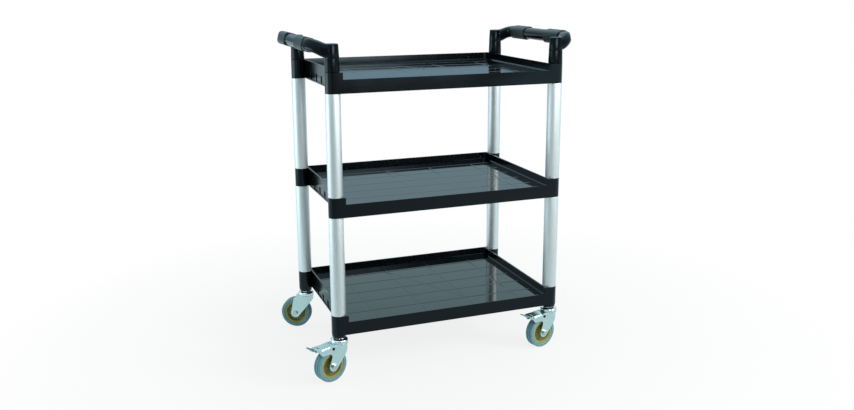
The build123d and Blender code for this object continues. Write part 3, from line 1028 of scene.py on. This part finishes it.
@dataclass
class Tray:
    """One shelf: the softened moulding and the glossy sheet of its tray floor.

    Attributes:
        tier: shelf that is dressed.
        edge: width of the moulding's round edges.
        length: length of the tray floor.
        depth: depth of the tray floor.
        corner: corner radius of the tray.
        floor: height of the floor above the moulding's foot.
        spigot: length of the spigots below the foot, which the bottom shelf doesn't have.
        cove: radius between floor and wall.
        lift: height of the sheet's top above the floor.
        skin: thickness of the sheet.
        sink: depth of the sink marks over the ribs.
        sink_width: width of a sink mark.
        pillow: height of the bulge between ribs.
        long_ribs: count of the ribs along the tray.
        long_pitch: spacing of the ribs along the tray.
        cross_ribs: count of the ribs across it.
        cross_pitch: spacing of the ribs across it.
    """

    tier: Tier
    edge: float = 0.9
    length: float = 568.0
    depth: float = 408.0
    corner: float = 8.0
    floor: float = 31.0
    spigot: float = 40.0
    cove: float = 3.0
    lift: float = 0.45
    skin: float = 0.3
    sink: float = 0.34
    sink_width: float = 1.6
    pillow: float = 0.05
    long_ribs: int = 5
    long_pitch: float = 72.0
    cross_ribs: int = 4
    cross_pitch: float = 136.0

    # Grid lines: places beside a rib, spacing in the open and in the middle field, margin at the edges,
    # least gap between two lines and count in a cove.
    BESIDE_RIB = (-3.6, -2.5, -1.8, -1.2, -0.6, 0.0, 0.6, 1.2, 1.8, 2.5, 3.6)
    OPEN_PITCH = 11.0
    FIELD_PITCH = 1.6
    MARGIN = 6.0
    LEAST_GAP = 0.25
    COVE_LINES = 7

    def build(self) -> list[Object]:
        """Soften the moulding and lay the floor sheet.

        Returns:
            The moulding, which replaces its node, and the sheet on it.
        """
        node = self.tier.value
        moulding = SoftSolid(node, Slot.SHELF, "frame", self.edge).build()
        sheet = Shell().add(self._sheet()).build(f"{node}_floor", Crisp.SHEET)
        thicken = sheet.modifiers.new("sheet thickness", "SOLIDIFY")
        thicken.thickness = self.skin * MM
        thicken.offset = -1.0
        return [moulding, register(sheet, Slot.SHELF, "frame", finish=POLISHED_FLOOR)]

    def _lines(self, size: float, ribs: np.ndarray, field: float) -> np.ndarray:
        """Grid lines across the floor, close together at its edges, over ribs and in the middle field.

        Args:
            size: size of the floor.
            ribs: places of the ribs.
            field: half the size of the middle field.

        Returns:
            Sorted places of the lines.
        """
        edge = size / 2 - self.cove * (1 - np.sin(np.linspace(0.0, np.pi / 2, self.COVE_LINES)))
        lines = [
            np.arange(-size / 2 + self.MARGIN, size / 2 - self.MARGIN, self.OPEN_PITCH),
            (ribs[:, None] + np.array(self.BESIDE_RIB)).ravel(),
            np.arange(-field, field + 1.0, self.FIELD_PITCH),
            edge,
            -edge,
        ]
        places = np.unique(np.round(np.concatenate(lines), 2))
        return places[np.concatenate([[True], np.diff(places) > self.LEAST_GAP])]

    def _sheet(self) -> np.ndarray:
        """Floor sheet: a level field with a round cove along the walls, sunk a little over each rib.

        A sink mark falls off as a bell curve of the distance to the nearest rib's line, along, across or
        diagonal in the middle field, and between the ribs the field swells as a squared sine.

        Returns:
            Grid of points.
        """
        long_ribs = evenly(self.long_ribs, self.long_pitch)
        cross_ribs = evenly(self.cross_ribs, self.cross_pitch)
        field_x, field_y = self.cross_pitch / 2, 2 * self.long_pitch
        xs = self._lines(self.length, cross_ribs, field_x)
        ys = self._lines(self.depth, long_ribs, field_y)
        x, y = np.meshgrid(xs, ys)
        far_x = np.abs(x) - (self.length / 2 - self.corner)
        far_y = np.abs(y) - (self.depth / 2 - self.corner)
        outside = np.hypot(np.maximum(far_x, 0.0), np.maximum(far_y, 0.0))
        outside += np.minimum(np.maximum(far_x, far_y), 0.0)
        inset = np.clip(self.corner - outside, 0.0, self.cove)
        rise = self.cove - np.sqrt(self.cove**2 - (self.cove - inset) ** 2)
        slant = np.hypot(field_x, field_y)
        across, down = field_y * x / slant, field_x * y / slant
        in_field = (np.abs(x) < field_x) & (np.abs(y) < field_y)
        nearest = [
            np.abs(y[..., None] - long_ribs).min(-1),
            np.abs(x[..., None] - cross_ribs).min(-1),
            np.where(in_field, np.minimum(np.abs(across - down), np.abs(across + down)), np.inf),
        ]
        marks = self.sink * np.exp(-((np.min(nearest, axis=0) / self.sink_width) ** 2))
        swell = self.pillow * np.sin(np.pi * y / self.long_pitch) ** 2
        z = self._foot() + self.floor + self.lift + rise - marks + swell * (inset >= self.cove)
        return np.stack([x, y, z], -1) * MM

    def _foot(self) -> float:
        """Height of the moulding's foot, which is the lowest point of the bottom shelf alone."""
        low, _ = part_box(self.tier.value)
        return low.z / MM + (0.0 if self.tier is Tier.BOTTOM else self.spigot)


def joint_named(name: str) -> dict:
    """Return the frame's joint of that name."""
    return next(joint for joint in frame["joints"] if joint["name"] == name)


@dataclass
class Wheel:
    """One wheel: tyre and hub, turned about the axle.

    Attributes:
        corner: corner of the cart.
        radius: radius of the tyre.
        width: width of the tyre.
        shoulder: round of the tyre's shoulders.
        bevel: size along the radius and the axle of the bevel at the foot of the tyre's walls.
        groove: place of the tread grooves from the middle.
        groove_half: half the width of a groove.
        groove_depth: depth of a groove.
        groove_draft: slant of a groove's walls.
        rim: radius where the tyre sits on the hub.
        face: distance of the rim's faces from the middle.
        ring: inner radius of the rim's ring.
        ledge: radius and distance from the middle of the ledge under the ring.
        web: outer radius of the web and half its thickness there.
        web_root: half the web's thickness at the boss.
        bore: radius of the hub's bore.
        boss: radius of the hub's boss.
        boss_face: distance of the boss's faces from the middle.
        painted_shade: depths below the rim's face between which the painted shade in the dish deepens.
    """

    corner: Corner
    radius: float = 44.0
    width: float = 26.0
    shoulder: float = 4.2
    bevel: tuple[float, float] = (2.0, 1.6)
    groove: float = 4.6
    groove_half: float = 1.3
    groove_depth: float = 2.2
    groove_draft: float = 0.3
    rim: float = 33.0
    face: float = 11.0
    ring: float = 28.6
    ledge: tuple[float, float] = (27.4, 8.6)
    web: tuple[float, float] = (25.6, 3.2)
    web_root: float = 2.6
    bore: float = 4.05
    boss: float = 11.0
    boss_face: float = 14.0
    painted_shade: tuple[float, float] = (0.6, 6.0)

    SEGMENTS = 128

    def build(self) -> list[Object]:
        """Turn the tyre and the hub.

        Returns:
            The tyre and the hub, which replace their nodes.
        """
        name = self.corner.value
        joint = joint_named(f"wheel_spin_{name}")
        origin, axis = Vector(joint["pos_m"]), Vector(joint["axis"])
        body = f"wheel_{name}"
        tyre = Shell().turn(self._tread(), origin, axis, self.SEGMENTS)
        dish = Shell().turn(self._dish(), origin, axis, self.SEGMENTS)
        hub = dish.build(f"wheel_hub_{name}_dish", Crisp.MOULDED)
        self._measure(hub.data, origin, axis)
        rubber = tyre.build(f"wheel_tyre_{name}_rubber", Crisp.MOULDED)
        return [
            register(rubber, Slot.TYRE, body, f"wheel_tyre_{name}"),
            register(hub, Slot.HUB, body, f"wheel_hub_{name}"),
        ]

    def _measure(self, mesh: bpy.types.Mesh, origin: Vector, axis: Vector) -> None:
        """Store how far each point of the hub lies below the rim's face, 0 on its ring to 1 on the web.

        Args:
            mesh: mesh of the hub.
            origin: middle of the wheel.
            axis: direction of the axle.
        """
        points = np.empty(len(mesh.vertices) * 3, np.float32)
        mesh.vertices.foreach_get("co", points)
        aside = np.abs((points.reshape(-1, 3) - np.array(origin)) @ np.array(axis.normalized())) / MM
        # Depth mask that sets where shade is painted into the dish.
        depth = smooth_step(self.face - aside, *self.painted_shade)
        layer = mesh.attributes.new(PaintedShadeDishFinish.RECESS, "FLOAT", "POINT")
        layer.data.foreach_set("value", depth.astype(np.float32))

    def _tread(self) -> Section:
        """Section of the tyre: a seat on the rim, two walls with round shoulders and a grooved tread.

        Returns:
            The outline.
        """
        half, deep = self.width / 2, self.radius - self.groove_depth
        near, far = self.groove - self.groove_half, self.groove + self.groove_half
        upper = [
            (self.rim, half - self.bevel[1], 0.8),
            (self.rim + self.bevel[0], half, 1.4),
            (self.radius, half, self.shoulder),
            (self.radius, far, 0.3),
            (deep, far - self.groove_draft, 0.25),
            (deep, near + self.groove_draft, 0.25),
            (self.radius, near, 0.3),
        ]
        return mirrored(upper)

    def _dish(self) -> Section:
        """Section of the hub: bore, boss, a web that thins to the boss, a stepped dish and the rim's ring.

        Returns:
            The outline.
        """
        upper = [
            (self.bore, self.boss_face, 0.4),
            (self.boss, self.boss_face, 0.8),
            (self.boss, self.web_root, 1.2),
            (*self.web, 2.2),
            (*self.ledge, 0.8),
            (self.ring, self.face, 0.8),
            (self.rim, self.face, 0.6),
        ]
        return mirrored(upper)


@dataclass
class SwivelHead:
    """Race cap and socket flange above one fork, turned about the swivel axis.

    Attributes:
        corner: corner of the cart.
        race: radius of the race cap.
        race_low: height of the cap's foot.
        race_high: height of the cap's top.
        roll: round of the cap's edge.
        shoulder: height of the cap's edge below its top.
        seat: radius of the flat on the cap's top.
        slope: width and height of the slope round the flat.
        stem: radius of the stem.
        flange_low: height of the flange's foot.
        flange_high: height of the flange's top.
        flange_foot: radius of the flange's foot.
        flange: radius of the flange's top.
        flange_rim: height of the flange's upright rim.
        plug: radius of the plug in the post.
        plug_high: height of the plug's top.
    """

    corner: Corner
    race: float = 23.0
    race_low: float = 100.1
    race_high: float = 110.0
    roll: float = 4.4
    shoulder: float = 1.2
    seat: float = 16.0
    slope: tuple[float, float] = (1.5, 0.6)
    stem: float = 6.05
    flange_low: float = 113.0
    flange_high: float = 122.0
    flange_foot: float = 16.5
    flange: float = 18.5
    flange_rim: float = 3.0
    plug: float = 12.0
    plug_high: float = 158.0

    def build(self) -> list[Object]:
        """Turn the cap and the plug with its flange.

        Returns:
            The cap and the plug, which replace their nodes.
        """
        name = self.corner.value
        spot = joint_named(f"swivel_{name}")["pos_m"]
        origin = Vector((spot[0], spot[1], 0.0))
        cap = [
            (self.stem, self.race_low, 0.2),
            (self.race, self.race_low, 1.2),
            (self.race, self.race_high - self.shoulder, self.roll),
            (self.seat + self.slope[0], self.race_high - self.slope[1], 0.6),
            (self.seat, self.race_high, 0.5),
            (self.stem, self.race_high, 0.2),
        ]
        plug = [
            (self.stem, self.flange_low, 0.3),
            (self.flange_foot, self.flange_low, 1.6),
            (self.flange, self.flange_high - self.flange_rim, 1.5),
            (self.flange, self.flange_high, 0.4),
            (self.plug, self.flange_high, 0.3),
            (self.plug, self.plug_high, 0.8),
            (self.stem, self.plug_high, 0.5),
        ]
        made = []
        for node, word, section, slot in (
            (f"caster_race_{name}", "cap", cap, Slot.BRIGHT),
            (f"caster_socket_{name}", "plug", plug, Slot.SOCKET),
        ):
            piece = Shell().turn(section, origin, UP).build(f"{node}_{word}", Crisp.MOULDED)
            made.append(register(piece, slot, "frame", node))
        return made


@dataclass
class BrakePin:
    """Hollow rivet on which one brake pedal turns.

    Attributes:
        corner: corner of the cart.
        radius: radius of the shank.
        head: radius of the heads.
        head_height: height of the heads.
        hollow: radius of the hollow ends.
        hollow_depth: depth of the hollow ends.
        half: half the width of the fork.
    """

    corner: Corner
    radius: float = 2.5
    head: float = 4.0
    head_height: float = 1.2
    hollow: float = 1.9
    hollow_depth: float = 5.0
    half: float = 17.5

    SEGMENTS = 48

    def build(self) -> Object:
        """Turn the rivet's section, a shank with rolled heads and blind holes, about its axis.

        Returns:
            The rivet, which replaces its node.
        """
        name = self.corner.value
        joint = joint_named(f"brake_{name}")
        top, floor = self.half + self.head_height, self.half - self.hollow_depth
        upper = [
            (POLE, floor, 0.0),
            (self.hollow, floor, 0.3),
            (self.hollow, top, 0.4),
            (self.head, top, 0.6),
            (self.head, self.half, 0.2),
            (self.radius, self.half, 0.2),
        ]
        origin, axis = Vector(joint["pos_m"]), Vector(joint["axis"])
        node = f"brake_pin_{name}"
        rivet = Shell().turn(mirrored(upper), origin, axis, self.SEGMENTS).build(f"{node}_rivet")
        return register(rivet, Slot.FASTENER, f"swivel_{name}", node, finish=BURNISHED_RIVET)


@dataclass
class Caster:
    """One swivel caster.

    Attributes:
        corner: corner of the cart.
        braked: whether it has a wheel brake.
    """

    corner: Corner
    braked: bool

    # Width of the round edges of each softened solid.
    EDGES = {"caster_fork": 0.6, "axle_bolt": 0.5, "axle_nut": 0.4, "caster_stem": 0.3, "brake_pedal": 0.35}

    def build(self) -> list[Object]:
        """Build the wheel, the head, the softened steel and, where it has one, the brake.

        Returns:
            The caster's pieces.
        """
        name = self.corner.value
        pieces = Wheel(self.corner).build() + SwivelHead(self.corner).build()
        steel = [
            ("caster_fork", Slot.ZINC, f"swivel_{name}"),
            ("axle_bolt", Slot.FASTENER, f"swivel_{name}"),
            ("axle_nut", Slot.FASTENER, f"swivel_{name}"),
            ("caster_stem", Slot.BRIGHT, "frame"),
        ]
        if self.braked:
            steel.append(("brake_pedal", Slot.ZINC, f"pedal_{name}"))
        for kind, slot, body in steel:
            pieces.append(SoftSolid(f"{kind}_{name}", slot, body, self.EDGES[kind]).build())
        if self.braked:
            pieces.append(BrakePin(self.corner).build())
        return pieces


@dataclass
class ServiceCart:
    """The whole cart.

    Attributes:
        braked: corners whose casters have brakes.
        rows: rows of posts, as the CAD nodes name them.
    """

    braked: tuple[Corner, ...] = (Corner.FRONT_LEFT, Corner.FRONT_RIGHT)
    rows: tuple[str, ...] = ("lower", "upper")

    def build(self) -> list[Object]:
        """Build the trays, the posts, the handles and the casters.

        Returns:
            Every piece of the cart.
        """
        pieces = [piece for tier in Tier for piece in Tray(tier).build()]
        posts = [f"{row}_post_{corner.value}" for row in self.rows for corner in Corner]
        pieces += [TubePost(node).build() for node in posts]
        pieces += [PushHandle(side).build() for side in Side]
        for corner in Corner:
            pieces += Caster(corner, corner in self.braked).build()
        return pieces


# Studio


@dataclass(frozen=True)
class PhotoCamera:
    """Camera fitted to the straight edges of the photograph.

    Attributes:
        focal: focal length in pixels of the photograph.
        place: place of the camera.
        yaw: angle of the view to the right of straight ahead.
        pitch: angle of the view below the horizon.
        roll: turn of the picture.
        middle: height of the view's axis in the picture, in pixels from the top.
    """

    focal: float = 875.24
    place: Triple = (-845.4, -2257.6, 1016.0)
    yaw: float = 0.3625
    pitch: float = 0.2196
    roll: float = -0.0035
    middle: float = 175.0

    WIDTH = 854
    HEIGHT = 410
    SENSOR = 36.0

    def build(self) -> Object:
        """Place the camera and make it the scene's own.

        Returns:
            The camera.
        """
        level = math.cos(self.pitch)
        ahead = Vector((math.sin(self.yaw) * level, math.cos(self.yaw) * level, -math.sin(self.pitch)))
        right = Vector((math.cos(self.yaw), -math.sin(self.yaw), 0.0))
        up = right.cross(ahead)
        cosine, sine = math.cos(self.roll), math.sin(self.roll)
        axes = (right * cosine + up * sine, up * cosine - right * sine, -ahead)
        data = bpy.data.cameras.new("photo_camera")
        data.sensor_width = self.SENSOR
        data.lens = self.focal * self.SENSOR / self.WIDTH
        data.shift_y = (self.middle - self.HEIGHT / 2) / self.WIDTH
        camera = placed("photo_camera", data)
        pose = Matrix(axes).transposed().to_4x4()
        pose.translation = Vector(self.place) * MM
        camera.matrix_world = pose
        bpy.context.scene.camera = camera
        return camera


@dataclass(frozen=True)
class Softbox:
    """A rectangular studio lamp aimed at a point.

    Attributes:
        name: name of the lamp.
        place: place of the lamp, in metres.
        aim: point that it faces, in metres.
        size: width and height, in metres.
        power: power in watts.
        colour: colour of the light.
        spares: finishes of the pieces that the lamp is kept off.
        serves: finishes of the only pieces that the lamp lights, or none for every piece.
    """

    name: str
    place: Triple
    aim: Triple
    size: tuple[float, float]
    power: float
    colour: Triple = (1.0, 1.0, 1.0)
    spares: tuple[Finish, ...] = ()
    serves: tuple[Finish, ...] = ()

    def build(self, pieces: list[Object]) -> Object:
        """Make the lamp.

        Args:
            pieces: pieces of the cart.

        Returns:
            The lamp.
        """
        data = bpy.data.lights.new(self.name, "AREA")
        data.shape = "RECTANGLE"
        data.size, data.size_y = self.size
        data.energy = self.power
        data.color = self.colour
        lamp = placed(self.name, data)
        lamp.location = self.place
        lamp.rotation_mode = "QUATERNION"
        lamp.rotation_quaternion = (Vector(self.aim) - Vector(self.place)).to_track_quat("-Z", "Y")
        lamp.visible_camera = False
        if self.spares or self.serves:
            self._link(lamp, pieces)
        return lamp

    def _link(self, lamp: Object, pieces: list[Object]) -> None:
        """Keep the lamp off the spared finishes, whose polish would mirror it, or on the served ones alone.

        Args:
            lamp: the lamp.
            pieces: pieces of the cart.
        """
        linked = bpy.data.collections.new(f"{self.name}_linked")
        titles = [finish.title for finish in self.serves or self.spares]
        for piece in pieces:
            if piece.data.materials[0].name in titles:
                linked.objects.link(piece)
        lamp.light_linking.receiver_collection = linked
        for entry in linked.collection_objects:
            entry.light_linking.link_state = "INCLUDE" if self.serves else "EXCLUDE"


def plane_of(name: str, corners: tuple[Triple, ...]) -> tuple[Object, Shader]:
    """Make a four-sided plane with a material of its own.

    Args:
        name: name of the object and the material.
        corners: its corners in order, in metres.

    Returns:
        The new object and its material's empty tree.
    """
    mesh = bpy.data.meshes.new(name)
    mesh.from_pydata(corners, [], [(0, 1, 2, 3)])
    material = bpy.data.materials.new(name)
    material.use_nodes = True
    mesh.materials.append(material)
    return placed(name, mesh), Shader(material.node_tree)


@dataclass(frozen=True)
class GreyCard:
    """A grey card in front of the cart that only reflections show.

    Attributes:
        name: name of the card.
        corners: its corners in order, in metres.
        tone: grey of the card.
    """

    name: str
    corners: tuple[Triple, ...]
    tone: float

    def build(self) -> Object:
        """Make the card and hide it from camera, diffuse and transmission rays and from shadows.

        Returns:
            The card.
        """
        card, s = plane_of(self.name, self.corners)
        grey = s.set(s.add("BsdfDiffuse"), Color=(self.tone, self.tone, self.tone, 1.0))
        s.set(s.add("OutputMaterial"), Surface=grey.outputs[0])
        card.visible_camera = False
        card.visible_diffuse = False
        card.visible_transmission = False
        card.visible_shadow = False
        return card


@dataclass
class Studio:
    """Pale floor, surroundings that are white to the camera, grey cards in front and soft lamps.

    Attributes:
        ambient: strength of the surroundings as light.
        floor_size: size of the floor, in metres.
        floor_glow: share of even white in the floor near the cart as it is seen.
        floor_near: distance from the middle up to which the floor keeps the shadow fully, in metres.
        floor_far: distance from which the floor is even white, in metres.
    """

    ambient: float = 0.34
    floor_size: float = 40.0
    floor_glow: float = 0.84
    floor_near: float = 0.5
    floor_far: float = 1.3

    WHITE = (1.0, 1.0, 1.0, 1.0)
    PALE = (0.86, 0.86, 0.86, 1.0)
    MIRRORED = (0.64, 0.82, 0.88, 1.0)
    HORIZON = (0.20, 0.32, 0.42, 1.0)
    ZENITH = (0.66, 0.93, 1.0, 1.0)
    RISE = (0.08, 0.34)

    MIRRORS = (POLISHED_FLOOR, SATIN_GRIP)
    LAMPS = (
        Softbox(
            "side", (-2.7, 0.5, 0.5), (0, 0, 0.5), (2.0, 0.9), 14.5, (0.9, 0.98, 1.0), (POLISHED_FLOOR,)
        ),
        Softbox("key", (2.3, -1.8, 1.9), (0, 0, 0.4), (1.0, 1.2), 46.0, spares=MIRRORS),
        Softbox("front", (0.29, -1.43, 1.15), (0, 0, 1.05), (0.5, 0.9), 6.8, spares=MIRRORS),
        Softbox("heads", (0.05, -1.43, 0.94), (0.05, 0, 0.94), (0.8, 0.2), 3.3, serves=(SATIN_GRIP,)),
        Softbox("top", (0, 0.5, 3.0), (0, 0, 0.4), (2.4, 1.8), 20.0),
    )
    CARDS = (
        GreyCard(
            "floor_card", ((-6, -4, 0.002), (2.4, -4, 0.002), (2.4, -0.42, 0.002), (-6, -0.42, 0.002)), 0.62
        ),
        GreyCard("wall_card", ((-2.4, -3, 0), (1.9, -3.6, 0), (1.9, -3.6, 1.5), (-2.4, -3, 1.5)), 0.42),
    )

    def build(self, pieces: list[Object]) -> None:
        """Make the surroundings, the floor, the cards and the lamps.

        Args:
            pieces: pieces of the cart.
        """
        self._surroundings()
        self._floor()
        for card in self.CARDS:
            card.build()
        for lamp in self.LAMPS:
            lamp.build(pieces)

    def _seen(self, s: Shader) -> Socket:
        """Return 1 for rays that show the background: from the camera, from gloss and through glass.

        Args:
            s: tree that asks.

        Returns:
            The mask's socket.
        """
        path = s.add("LightPath")
        gloss = s.math("MAXIMUM", path.outputs["Is Glossy Ray"], path.outputs["Is Transmission Ray"])
        return s.math("MAXIMUM", path.outputs["Is Camera Ray"], gloss)

    def _surroundings(self) -> None:
        """World that is white to the camera, dim as light and, in reflections, darker at the horizon."""
        world = bpy.data.worlds.new("surroundings")
        world.use_nodes = True
        s = Shader(world.node_tree)
        way = s.set(s.add("SeparateXYZ"), Vector=s.add("TexCoord").outputs["Generated"])
        sky = s.mix(s.span(way.outputs["Z"], *self.RISE), self.HORIZON, self.ZENITH)
        colour = s.mix(s.add("LightPath").outputs["Is Camera Ray"], sky, self.WHITE)
        strength = s.span(self._seen(s), 0.0, 1.0, self.ambient, 1.0)
        back = s.set(s.add("Background"), Color=colour, Strength=strength)
        s.set(s.add("OutputWorld"), Surface=back.outputs[0])
        bpy.context.scene.world = world
        bpy.context.scene.view_settings.view_transform = "Standard"

    def _floor(self) -> Object:
        """Pale floor that keeps a soft shadow near the cart and blends into white further away.

        Returns:
            The floor.
        """
        half = self.floor_size / 2
        corners = ((-half, -half, 0.0), (half, -half, 0.0), (half, half, 0.0), (-half, half, 0.0))
        floor, s = plane_of("studio_floor", corners)
        away = s.add("VectorMath", operation="LENGTH")
        s.feed(away.inputs[0], s.add("TexCoord").outputs["Object"])
        glow = s.span(away.outputs["Value"], self.floor_near, self.floor_far, self.floor_glow, 1.0)
        matt = s.set(s.add("BsdfDiffuse"), Color=self.PALE)
        tone = s.mix(s.add("LightPath").outputs["Is Glossy Ray"], self.WHITE, self.MIRRORED)
        white = s.set(s.add("Emission"), Color=tone, Strength=1.0)
        mix = s.set(s.add("MixShader"), Fac=s.math("MULTIPLY", self._seen(s), glow))
        for target, source in zip(mix.inputs[1:], (matt, white)):
            s.feed(target, source.outputs[0])
        s.set(s.add("OutputMaterial"), Surface=mix.outputs[0])
        return floor


def main() -> None:
    """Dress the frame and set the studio."""
    logging.basicConfig(level=logging.INFO, format="%(message)s")
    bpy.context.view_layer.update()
    pieces = ServiceCart().build()
    Studio().build(pieces)
    PhotoCamera().build()
    LOG.info("%d pieces", len(pieces))


if __name__ == "__main__":
    main()
